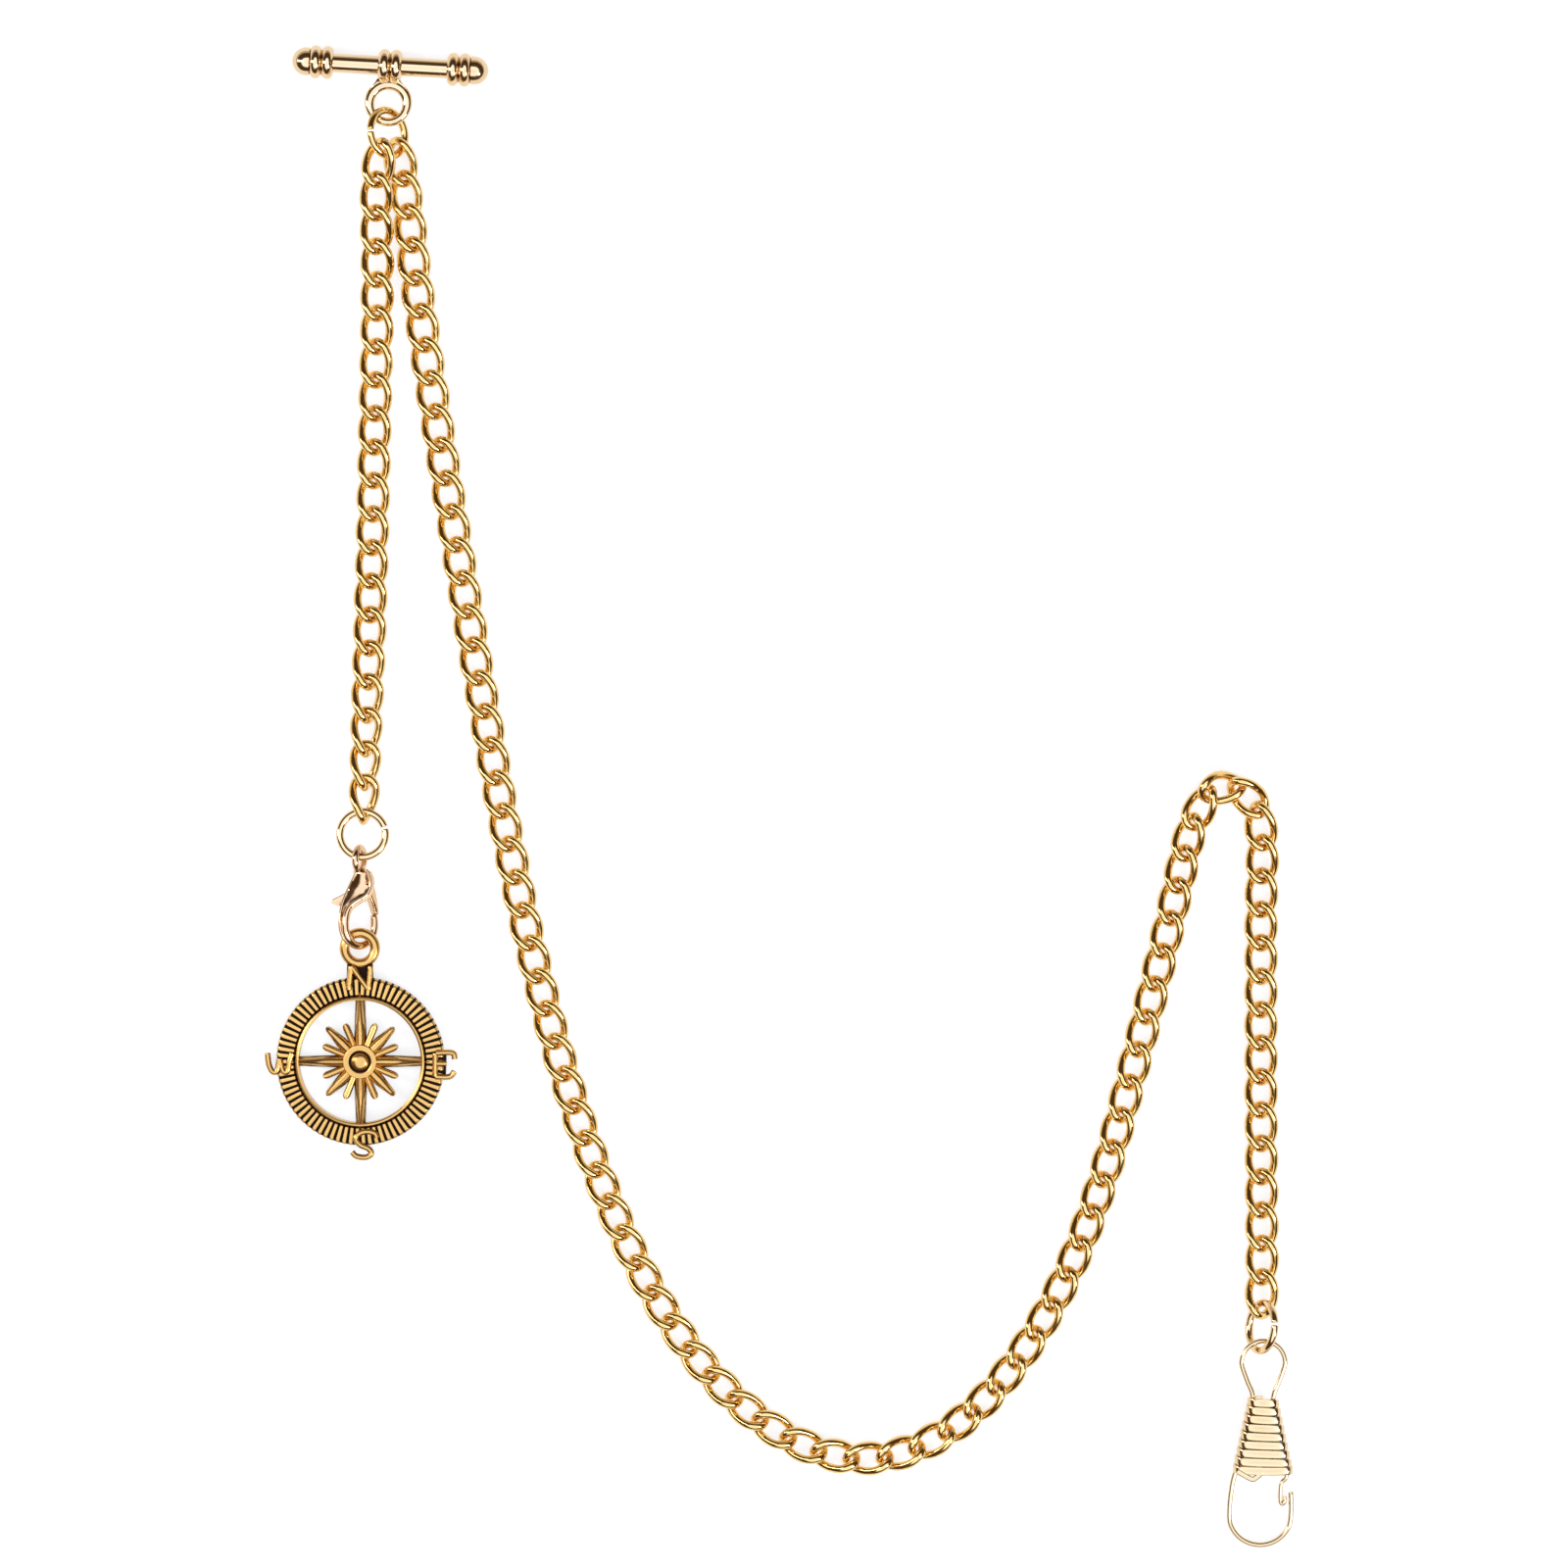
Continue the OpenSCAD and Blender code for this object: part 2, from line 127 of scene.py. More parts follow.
class ClaspSizes(bpy.types.PropertyGroup):
    thickness: FloatProperty(name="Body", description="Thickness of the clasp's body", default=0.0026, unit="LENGTH")
    gate: FloatProperty(name="Gate", description="Thickness of the gate", default=0.001, unit="LENGTH")
    hook_r: FloatProperty(name="Hook", description="Radius of the hook at its wire's centre", default=0.0025, unit="LENGTH")
    colour: FloatVectorProperty(name="Clasp gold", description="Colour of the clasp's plate", default=(0.78, 0.56, 0.37),
                                subtype="COLOR")


class CharmSizes(bpy.types.PropertyGroup):
    outer_r: FloatProperty(name="Ring, outside", description="Outer radius of the ridged ring", default=0.01075, unit="LENGTH")
    inner_r: FloatProperty(name="Ring, inside", description="Inner radius of the ring", default=0.0078, unit="LENGTH")
    thickness: FloatProperty(name="Thickness", description="Thickness of the casting", default=0.0015, unit="LENGTH")
    ridges: IntProperty(name="Ridges", description="Ridges round the ring", default=78, min=40, max=100)
    colour: FloatVectorProperty(name="Antique gold", description="Colour of the casting's raised parts",
                                default=(0.8, 0.47, 0.15), subtype="COLOR")
    patina: FloatVectorProperty(name="Patina", description="Colour left in the recesses", default=(0.016, 0.006, 0.0015),
                                subtype="COLOR")


class ClipSizes(bpy.types.PropertyGroup):
    wire_d: FloatProperty(name="Frame wire", description="Diameter of the clip's frame wire", default=0.00066, unit="LENGTH")
    latch_d: FloatProperty(name="Latch wire", description="Diameter of the latch's wire", default=0.00054, unit="LENGTH")
    turns: IntProperty(name="Turns", description="Turns in the winding", default=9, min=6, max=12)
    thickness: FloatProperty(name="Winding", description="Thickness of the winding, front to back", default=0.0026,
                             unit="LENGTH")
    colour: FloatVectorProperty(name="Clip gold", description="Colour of the clip's plate", default=(0.8, 0.65, 0.42),
                                subtype="COLOR")


class WatchChain(bpy.types.PropertyGroup):
    chain: PointerProperty(type=ChainSizes, name="Chain", description="Curb links and jump rings")
    t_bar: PointerProperty(type=TBarSizes, name="T-bar", description="The bar for the buttonhole")
    clasp: PointerProperty(type=ClaspSizes, name="Clasp", description="The fob strand's clasp")
    charm: PointerProperty(type=CharmSizes, name="Charm", description="The compass charm")
    clip: PointerProperty(type=ClipSizes, name="Clip", description="The watch clip")


# ---- placing and shaping ----

SMOOTH_BELOW = math.radians(38)
SOFTEN_ABOVE = 0.7  # radians between two faces
WELD = 0.0005  # millimetres
END_BEVEL, CUT_BEVEL = 0.18, 0.12  # of the wire's half width, at a sweep's ends and a ring's cut


def place(at, turn=(0, 0, 0)):
    return Matrix.Translation(at) @ Euler([math.radians(a) for a in turn], "XYZ").to_matrix().to_4x4()


def between(rows, k):
    """Where link k lies, from the listed links either side of it."""
    i = max(j for j, row in enumerate(rows) if row[0] <= k)
    a, b = rows[i], rows[min(i + 1, len(rows) - 1)]
    f = 0 if a[0] == b[0] else (k - a[0]) / (b[0] - a[0])
    mix = lambda p, q: tuple(x + f * (y - x) for x, y in zip(p, q))
    return place(mix(a[1], b[1]), mix(a[2], b[2]))


def table(rows, k):
    """A value from (link number, value) rows, straight between them and flat past their ends."""
    if k <= rows[0][0]:
        return rows[0][1]
    for a, b in zip(rows, rows[1:]):
        if k <= b[0]:
            return a[1] + (k - a[0]) / (b[0] - a[0]) * (b[1] - a[1])
    return rows[-1][1]


def curve_places():
    places, x, y = {}, *CURVE_START
    for k in range(CURVE_FIRST, CURVE_LAST + 1):
        heading, pitch = table(CURVE_HEADING, k), table(CURVE_PITCH, k)
        dx, dy = pitch * math.cos(math.radians(heading)), pitch * math.sin(math.radians(heading))
        places[k] = place((x + dx / 2, y + dy / 2, CURVE_HEIGHT), (0, 0, heading))
        x, y = x + dx, y + dy
    return places


def rounded(points, steps, closed=False):
    """A smooth route through points, with steps to each stretch."""
    pts = [Vector(p) for p in points]
    n = len(pts)
    get = lambda i: pts[i % n] if closed else pts[max(0, min(n - 1, i))]
    out = []
    for i in range(n if closed else n - 1):
        a, b, c, d = get(i - 1), get(i), get(i + 1), get(i + 2)
        for s in range(steps):
            t = s / steps
            out.append(0.5 * (2 * b + (c - a) * t + (2 * a - 5 * b + 4 * c - d) * t * t + (3 * b - a - 3 * c + d) * t ** 3))
    return out if closed else out + [pts[-1]]


def ring_edges(verts):
    inside = set(verts)
    return list({e for v in verts for e in v.link_edges if set(e.verts) <= inside})


def sweep(bm, path, sizes, ups=None, sides=12, closed=False, square=1.0):
    """Draws a wire along path. sizes gives its half width and half height, one pair or a pair for each point; square above 1
    flattens its sides."""
    before = set(bm.verts)
    n = len(path)
    path = [Vector(p) for p in path]
    sizes = sizes if isinstance(sizes, list) else [sizes] * n
    ups = ups if ups else [Vector((0, 0, 1))] * n
    mats = []
    for i, p in enumerate(path):
        t = (path[(i + 1) % n] - path[i - 1]) if closed else (path[min(i + 1, n - 1)] - path[max(i - 1, 0)])
        t.normalize()
        side = t.cross(Vector(ups[i])).normalized()
        up = side.cross(t)
        w, h = sizes[i]
        mats.append(Matrix((
            (side.x * w, up.x * h, t.x, p.x), (side.y * w, up.y * h, t.y, p.y), (side.z * w, up.z * h, t.z, p.z),
            (0, 0, 0, 1))))
    verts = bmesh.ops.create_circle(bm, cap_ends=False, radius=1, segments=sides)["verts"]
    for v in verts:
        v.co = Vector([math.copysign(abs(c) ** (1 / square), c) for c in v.co])
        v.co = mats[0] @ v.co
    first = last = ring_edges(verts)
    for a, b in zip(mats, mats[1:]):
        geom = bmesh.ops.extrude_edge_only(bm, edges=last)["geom"]
        verts = [g for g in geom if isinstance(g, bmesh.types.BMVert)]
        bmesh.ops.transform(bm, matrix=b @ a.inverted(), verts=verts)
        last = ring_edges(verts)
    if closed:
        bmesh.ops.bridge_loops(bm, edges=first + last)
    else:
        for loop in (first, last):
            face = bmesh.ops.contextual_create(bm, geom=loop)["faces"]
            bmesh.ops.bevel(bm, geom=list(face[0].edges), offset=END_BEVEL * min(sizes[0]), segments=2, affect="EDGES",
                            profile=0.5, material=-1)
    return [v for v in bm.verts if v not in before]


def torus(bm, r, wire_r, steps=64, sides=16, matrix=Matrix(), gap=0.0, gap_at=0.0):
    """A ring of round wire, closed, or cut open by gap degrees."""
    before = set(bm.verts)
    start = Matrix.Rotation(math.radians(gap_at + gap / 2), 4, "Z")
    section = bmesh.ops.create_circle(
        bm, cap_ends=False, radius=wire_r, segments=sides,
        matrix=start @ Matrix.Translation((r, 0, 0)) @ Matrix.Rotation(math.pi / 2, 4, "X"))["verts"]
    edges = ring_edges(section)
    turned = bmesh.ops.spin(
        bm, geom=section + edges, cent=(0, 0, 0), axis=(0, 0, 1), angle=math.radians(360 - gap), steps=steps,
        use_merge=gap == 0)
    if gap:
        ends = ring_edges([g for g in turned["geom_last"] if isinstance(g, bmesh.types.BMVert)])
        for loop in (edges, ends):
            face = bmesh.ops.contextual_create(bm, geom=loop)["faces"][0]
            bmesh.ops.bevel(bm, geom=list(face.edges), offset=CUT_BEVEL * wire_r, segments=2, affect="EDGES", profile=0.5,
                            material=-1)
    made = [v for v in bm.verts if v not in before]
    bmesh.ops.transform(bm, matrix=matrix, verts=made)
    return made


def lathe(bm, profile, steps=64, matrix=Matrix()):
    """Spins an outline of (radius, height) points about the Z axis."""
    before = set(bm.verts)
    verts = [bm.verts.new((r, 0, z)) for r, z in profile]
    edges = [bm.edges.new(pair) for pair in zip(verts, verts[1:])]
    bmesh.ops.spin(bm, geom=verts + edges, cent=(0, 0, 0), axis=(0, 0, 1), angle=2 * math.pi, steps=steps, use_merge=True)
    made = [v for v in bm.verts if v not in before]
    bmesh.ops.remove_doubles(bm, verts=made, dist=WELD)
    made = [v for v in bm.verts if v not in before]
    bmesh.ops.transform(bm, matrix=matrix, verts=made)
    return made


def plate(bm, outline, low, high, edge=0.1, rim=0.0, sunk=0.0, matrix=Matrix()):
    """A flat plate with softened edges. rim leaves a raised border round a sunk face."""
    before = set(bm.verts)
    face = bm.faces.new([bm.verts.new((x, y, low)) for x, y in outline])
    face.normal_update()
    if face.normal.z > 0:
        face.normal_flip()
    geom = bmesh.ops.extrude_face_region(bm, geom=[face])["geom"]
    bmesh.ops.translate(bm, vec=(0, 0, high - low), verts=[g for g in geom if isinstance(g, bmesh.types.BMVert)])
    made = [v for v in bm.verts if v not in before]
    bmesh.ops.recalc_face_normals(bm, faces=list({f for v in made for f in v.link_faces}))
    flat = [f for f in {f for v in made for f in v.link_faces} if len(f.verts) == len(outline)]
    if rim:
        for f in flat:
            f.normal_update()
        bmesh.ops.inset_region(bm, faces=[f for f in flat if f.normal.z * (high + low) > 0], thickness=rim, depth=-sunk,
                               use_even_offset=True)
    made = [v for v in bm.verts if v not in before]
    edges = {e for v in made for e in v.link_edges}
    sharp = [e for e in edges if len(e.link_faces) == 2 and e.calc_face_angle(0) > SOFTEN_ABOVE]
    bmesh.ops.bevel(bm, geom=sharp, offset=edge, segments=2, affect="EDGES", profile=0.5, material=-1, clamp_overlap=True)
    made = [v for v in bm.verts if v not in before]
    bmesh.ops.transform(bm, matrix=matrix, verts=made)
    return made


def finish_piece(bm, name, where, finish, body, stands_for):
    """Puts a shape made in millimetres at its place in the row's frame, and hangs it on its body."""
    bmesh.ops.transform(bm, matrix=Matrix.Scale(MM, 4) @ where, verts=bm.verts)
    bmesh.ops.recalc_face_normals(bm, faces=bm.faces)
    mesh = bpy.data.meshes.new(name)
    bm.to_mesh(mesh)
    bm.free()
    mesh.shade_smooth()
    mesh.set_sharp_from_angle(angle=SMOOTH_BELOW)
    piece = bpy.data.objects.new(name, mesh)
    bpy.context.scene.collection.objects.link(piece)
    mesh.materials.append(finish)
    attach(piece, body)
    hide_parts(*stands_for)
    return piece


# ---- finishes ----

def node(nodes, kind, **values):
    made = nodes.new(kind)
    for name, value in values.items():
        if name.startswith("in_"):
            made.inputs[int(name[3:]) if name[3:].isdigit() else name[3:].replace("_", " ")].default_value = value
        else:
            setattr(made, name, value)
    return made


def effect(name, inputs, outputs):
    """A shader group with named inputs and outputs, made once."""
    group = bpy.data.node_groups.new(name, "ShaderNodeTree")
    for label, default in inputs:
        socket = group.interface.new_socket(name=label, in_out="INPUT", socket_type="NodeSocketFloat")
        socket.default_value = default
    for label in outputs:
        group.interface.new_socket(name=label, in_out="OUTPUT", socket_type="NodeSocketFloat")
    return group, group.nodes.new("NodeGroupInput"), group.nodes.new("NodeGroupOutput")


def polishing_marks():
    """Hair-fine polishing scratches with faint dulled patches."""
    group, given, out = effect("Polishing marks", [("Scale", 900.0), ("Depth", 0.3)], ["Height", "Dullness"])
    n, link = group.nodes, group.links.new
    where = node(n, "ShaderNodeTexCoord")
    stretch = node(n, "ShaderNodeMapping")
    stretch.inputs["Scale"].default_value = (1.0, 0.12, 0.4)
    stretch.inputs["Rotation"].default_value = (0.3, 0.2, 0.6)
    hairs = node(n, "ShaderNodeTexNoise", in_Detail=3.0, in_Roughness=0.65)
    patches = node(n, "ShaderNodeTexNoise", in_Scale=260.0, in_Detail=4.0)
    pick = node(n, "ShaderNodeMapRange")
    pick.inputs["From Min"].default_value, pick.inputs["From Max"].default_value = 0.45, 0.75
    deep = node(n, "ShaderNodeMath", operation="MULTIPLY")
    link(where.outputs["Object"], stretch.inputs["Vector"])
    link(stretch.outputs["Vector"], hairs.inputs["Vector"])
    link(given.outputs["Scale"], hairs.inputs["Scale"])
    link(where.outputs["Object"], patches.inputs["Vector"])
    link(hairs.outputs["Fac"], deep.inputs[0])
    link(given.outputs["Depth"], deep.inputs[1])
    link(patches.outputs["Fac"], pick.inputs["Value"])
    link(deep.outputs["Value"], out.inputs["Height"])
    link(pick.outputs["Result"], out.inputs["Dullness"])
    return group


def tone_drift_and_shade():
    """Slow drift in the plate's tone, and painted shade in concave places, such as where wire meets wire."""
    group, given, out = effect("Tone drift and painted shade", [("Scale", 120.0), ("Painted shade", 0.5)], ["Tone", "Painted shade"])
    n, link = group.nodes, group.links.new
    where = node(n, "ShaderNodeTexCoord")
    drift = node(n, "ShaderNodeTexNoise", in_Detail=5.0, in_Roughness=0.6)
    # painted shade: concave places, found by pointiness, are darkened as if shaded
    shape = node(n, "ShaderNodeNewGeometry")
    hollow = node(n, "ShaderNodeMapRange")
    hollow.inputs["From Min"].default_value, hollow.inputs["From Max"].default_value = 0.5, 0.42
    strength = node(n, "ShaderNodeMath", operation="MULTIPLY", use_clamp=True)
    link(where.outputs["Object"], drift.inputs["Vector"])
    link(given.outputs["Scale"], drift.inputs["Scale"])
    link(shape.outputs["Pointiness"], hollow.inputs["Value"])
    link(hollow.outputs["Result"], strength.inputs[0])
    link(given.outputs["Painted shade"], strength.inputs[1])
    link(drift.outputs["Fac"], out.inputs["Tone"])
    link(strength.outputs["Value"], out.inputs["Painted shade"])
    return group


def gilt(name, colour, deep, roughness=0.09, dull=0.09, marks=0.3, hollow_shade=0.4):
    """Polished plate: its colour drifts towards deep, it dulls in patches and has painted shade in its hollows."""
    mat = bpy.data.materials.new(name)
    mat.use_nodes = True
    n, link = mat.node_tree.nodes, mat.node_tree.links.new
    shader = n["Principled BSDF"]
    shader.inputs["Metallic"].default_value = 1.0
    groups = bpy.data.node_groups
    scratch = node(n, "ShaderNodeGroup", node_tree=groups["Polishing marks"])
    scratch.inputs["Depth"].default_value = marks
    drift = node(n, "ShaderNodeGroup", node_tree=groups["Tone drift and painted shade"])
    drift.inputs["Painted shade"].default_value = hollow_shade
    tone = node(n, "ShaderNodeMix", data_type="RGBA")
    tone.inputs["A"].default_value, tone.inputs["B"].default_value = (*deep, 1), (*colour, 1)
    shaded = node(n, "ShaderNodeMix", data_type="RGBA", blend_type="MULTIPLY")
    # colour of the painted shade, multiplied into the plate in concave places
    shaded.inputs["B"].default_value = (0.32, 0.2, 0.12, 1)
    rough = node(n, "ShaderNodeMapRange")
    rough.inputs["To Min"].default_value, rough.inputs["To Max"].default_value = roughness, roughness + dull
    bump = node(n, "ShaderNodeBump", in_Strength=0.12, in_Distance=0.00003)
    link(drift.outputs["Tone"], tone.inputs["Factor"])
    link(tone.outputs["Result"], shaded.inputs["A"])
    link(drift.outputs["Painted shade"], shaded.inputs["Factor"])
    link(shaded.outputs["Result"], shader.inputs["Base Color"])
    link(scratch.outputs["Dullness"], rough.inputs["Value"])
    link(rough.outputs["Result"], shader.inputs["Roughness"])
    link(scratch.outputs["Height"], bump.inputs["Height"])
    link(bump.outputs["Normal"], shader.inputs["Normal"])
    return mat


def antique(name, raised, patina):
    """Antiqued casting: the relief attribute says how proud the surface stands, and the rest keeps its black-brown patina."""
    # besides its patina, the casting gets painted shade in its concave places
    mat = gilt(name, raised, tuple(c * 0.72 for c in raised), roughness=0.24, dull=0.16, marks=0.5, hollow_shade=0.5)
    n, link = mat.node_tree.nodes, mat.node_tree.links.new
    shader = n["Principled BSDF"]
    relief = node(n, "ShaderNodeAttribute", attribute_name="relief")
    where = node(n, "ShaderNodeTexCoord")
    grain = node(n, "ShaderNodeTexNoise", in_Scale=1500.0, in_Detail=4.0)
    shift = node(n, "ShaderNodeMath", operation="MULTIPLY_ADD")
    shift.inputs[1].default_value, shift.inputs[2].default_value = 0.3, -0.15
    worn = node(n, "ShaderNodeMath", operation="ADD")
    bare = node(n, "ShaderNodeMapRange", interpolation_type="SMOOTHSTEP")
    bare.inputs["From Min"].default_value, bare.inputs["From Max"].default_value = 0.3, 0.62
    colour = node(n, "ShaderNodeMix", data_type="RGBA")
    colour.inputs["A"].default_value = (*patina, 1)
    metal = node(n, "ShaderNodeMapRange")
    metal.inputs["To Min"].default_value, metal.inputs["To Max"].default_value = 0.3, 1.0
    shader.inputs["Specular IOR Level"].default_value = 0.1
    rough = node(n, "ShaderNodeMapRange")
    rough.inputs["To Min"].default_value, rough.inputs["To Max"].default_value = 0.55, 0.27
    gold = shader.inputs["Base Color"].links[0].from_socket
    link(where.outputs["Object"], grain.inputs["Vector"])
    link(grain.outputs["Fac"], shift.inputs[0])
    link(shift.outputs["Value"], worn.inputs[0])
    link(relief.outputs["Fac"], worn.inputs[1])
    link(worn.outputs["Value"], bare.inputs["Value"])
    link(gold, colour.inputs["B"])
    link(bare.outputs["Result"], colour.inputs["Factor"])
    link(colour.outputs["Result"], shader.inputs["Base Color"])
    link(bare.outputs["Result"], metal.inputs["Value"])
    link(metal.outputs["Result"], shader.inputs["Metallic"])
    link(bare.outputs["Result"], rough.inputs["Value"])
    link(rough.outputs["Result"], shader.inputs["Roughness"])
    return mat


def finish(name):
    """One of the chain's finishes, made the first time that it is asked for."""
    if "Polishing marks" not in bpy.data.node_groups:
        polishing_marks()
        tone_drift_and_shade()
    if name in bpy.data.materials:
        return bpy.data.materials[name]
    s = bpy.context.scene.watch_chain
    if name == "Antique gold":
        return antique(name, s.charm.colour, s.charm.patina)
    colour = {"Chain gold": s.chain.colour, "Ring gold": s.chain.ring_colour, "Champagne gold": s.t_bar.colour,
              "Rosy gold": s.clasp.colour, "Pale clip gold": s.clip.colour}.get(name, (0.6, 0.6, 0.58))
    deep = (colour[0] * 0.9, colour[1] * 0.78, colour[2] * 0.62)
    # painted shade in concave places, strongest on the chain where its links cross
    return gilt(name, colour, deep, marks=0.35, hollow_shade=0.55 if name == "Chain gold" else 0.35)


# ---- the pieces ----

class CHAIN_OT_links(bpy.types.Operator):
    """Lays both strands of twisted curb links, run by run"""
    bl_idname = "watch_chain.links"
    bl_label = "Curb Links"

    def execute(self, context):
        s = context.scene.watch_chain.chain
        a, b, r = s.half_l / MM, s.half_w / MM, s.wire_d / MM / 2
        power = 2 / 2.4
        soft = lambda c: math.copysign(abs(c) ** power, c)
        route, ups = [], []
        for i in range(s.link_rings):
            t = 2 * math.pi * (i + 0.5) / s.link_rings
            # the sections crowd towards the crowns, where the wire bends most
            t += 0.12 * math.sin(2 * t)
            x, y = a * soft(math.cos(t)), b * soft(math.sin(t))
            turn = -s.twist * x / a
            route.append((x, y * math.cos(turn), y * math.sin(turn)))
            ups.append((0, -math.sin(turn), math.cos(turn)))
        link = bmesh.new()
        sweep(link, route, (r, r), ups, sides=12, closed=True)
        pattern = bpy.data.meshes.new("link pattern")
        link.to_mesh(pattern)
        link.free()
        on_curve = curve_places()
        main_place = lambda k: on_curve[k] if k in on_curve else between(MAIN_FIRST if k < CURVE_FIRST else MAIN_LAST, k)
        strands = [("fob", FOB_RUNS, lambda k: between(FOB_LAID, k)), ("main", MAIN_RUNS, main_place)]
        for strand, runs, where in strands:
            for i, (start, stop) in enumerate(zip(runs, runs[1:]), 1):
                bm = bmesh.new()
                for k in range(start, stop):
                    before = len(bm.verts)
                    bm.from_mesh(pattern)
                    bm.verts.ensure_lookup_table()
                    bmesh.ops.transform(bm, matrix=where(k), verts=bm.verts[before:])
                finish_piece(bm, f"{strand}_curb_{i:02d}", Matrix(), finish("Chain gold"), f"{strand}_{i}",
                             [f"{strand}_links_{i:02d}"])
        bpy.data.meshes.remove(pattern)
        return {"FINISHED"}


class CHAIN_OT_rings(bpy.types.Operator):
    """Bends the three open jump rings"""
    bl_idname = "watch_chain.rings"
    bl_label = "Jump Rings"

    def execute(self, context):
        r = context.scene.watch_chain.chain.ring_wire_d / MM / 2
        rings = [
            ("top_ring_wire", 2.95, (-49.8, 84.05, 2.65), (-5.5, 45.5, 1.5), 175, "Chain gold", "top_ring", "chain",
             "top_jump_ring"),
            ("fob_ring_wire", 2.9, (-53, -5.15, 2.35), (-5.5, -0.5, 1), 15, "Ring gold", "fob_ring", "ring", "fob_jump_ring"),
            ("watch_ring_wire", 3.05, (61.4, -67.8, 3.2), (-6.5, -61.5, 0), 10, "Ring gold", "watch_ring", "ring",
             "watch_jump_ring"),
        ]
        for name, ring_r, at, turn, gap_at, look, body, slot, stands_for in rings:
            bm = bmesh.new()
            torus(bm, ring_r, r, steps=80, sides=20, gap=7, gap_at=gap_at)
            finish_piece(bm, name, place(at, turn), finish(look), body, [stands_for])
        return {"FINISHED"}


class CHAIN_OT_t_bar(bpy.types.Operator):
    """Turns the T-bar: rod, two domed ends, centre collar and the ring under it"""
    bl_idname = "watch_chain.t_bar"
    bl_label = "T-Bar"

    def execute(self, context):
        s = context.scene.watch_chain.t_bar
        half, rod_r, rib_r, dome_r = s.length / MM / 2, s.rod_d / MM / 2, s.rib_d / MM / 2, s.dome_d / MM / 2
        rib_w, finial_l = 1.5, 5.25
        along_bar = place((-49.5, 92.65, 2.2), (0, 0, -3.1)) @ Matrix.Rotation(math.pi / 2, 4, "Y")

        def rib(z):
            """A round rib from z to z + rib_w."""
            out = [(rib_r - rib_w / 2 * (1 - math.sin(t)), z + rib_w / 2 * (1 - math.cos(t)))
                   for t in [math.radians(d) for d in range(0, 181, 15)]]
            return [(max(rr, rib_r - 0.62), zz) for rr, zz in out]

        dome = [(dome_r * math.cos(math.radians(d)), finial_l - dome_r + dome_r * math.sin(math.radians(d))) for d in range(0,
                                                                                                                            91, 9)]
        end = [(rod_r, 0.0), *rib(0), *rib(rib_w), (dome_r, 2 * rib_w + 0.05), *dome[:-1], (0.0, finial_l)]
        for side, flip in (("left", Matrix.Rotation(math.pi, 4, "X")), ("right", Matrix())):
            bm = bmesh.new()
            lathe(bm, end, 72, flip @ Matrix.Translation((0, 0, half - finial_l)))
            finish_piece(bm, f"t_bar_{side}_end", along_bar, finish("Champagne gold"), "t_bar",
                         [f"t_bar_{side}_finial"])
        bm = bmesh.new()
        rod_half = half - finial_l + 0.6
        lathe(bm, [(0, -rod_half), (rod_r, -rod_half), (rod_r, -rod_half / 2), (rod_r, rod_half / 2), (rod_r, rod_half),
                   (0, rod_half)])
        finish_piece(bm, "t_bar_shaft", along_bar, finish("Champagne gold"), "t_bar", ["t_bar_rod"])
        bm = bmesh.new()
        lathe(bm, [(rod_r, -rib_w), *rib(-rib_w), *rib(0), (rod_r, rib_w)], 72)
        finish_piece(bm, "t_bar_centre", along_bar, finish("Champagne gold"), "t_bar", ["t_bar_collar"])
        bm = bmesh.new()
        ring_r = 2.4
        angles = [2 * math.pi * i / 72 for i in range(72)]
        # the ring is flattened at its sides and round at the bottom, where the jump ring bears
        sweep(bm, [(ring_r * math.cos(t), ring_r * math.sin(t), 0) for t in angles],
              [(0.56 + 0.11 * min(1, max(0, 0.7 + math.sin(t))), 0.56) for t in angles], sides=20, closed=True)
        shoulder = [(-1.4, 3.2), (-1.65, 2.75), (-2.35, 1.9), (-1.7, 1.85), (0, 2.4), (1.7, 1.85), (2.35, 1.9), (1.65, 2.75),
                    (1.4, 3.2)]
        plate(bm, shoulder, -0.42, 0.42, edge=0.22)
        finish_piece(bm, "t_bar_loop", place((-49.75, 87.9, 2.2)), finish("Champagne gold"), "t_bar", ["t_bar_ring"])
        return {"FINISHED"}


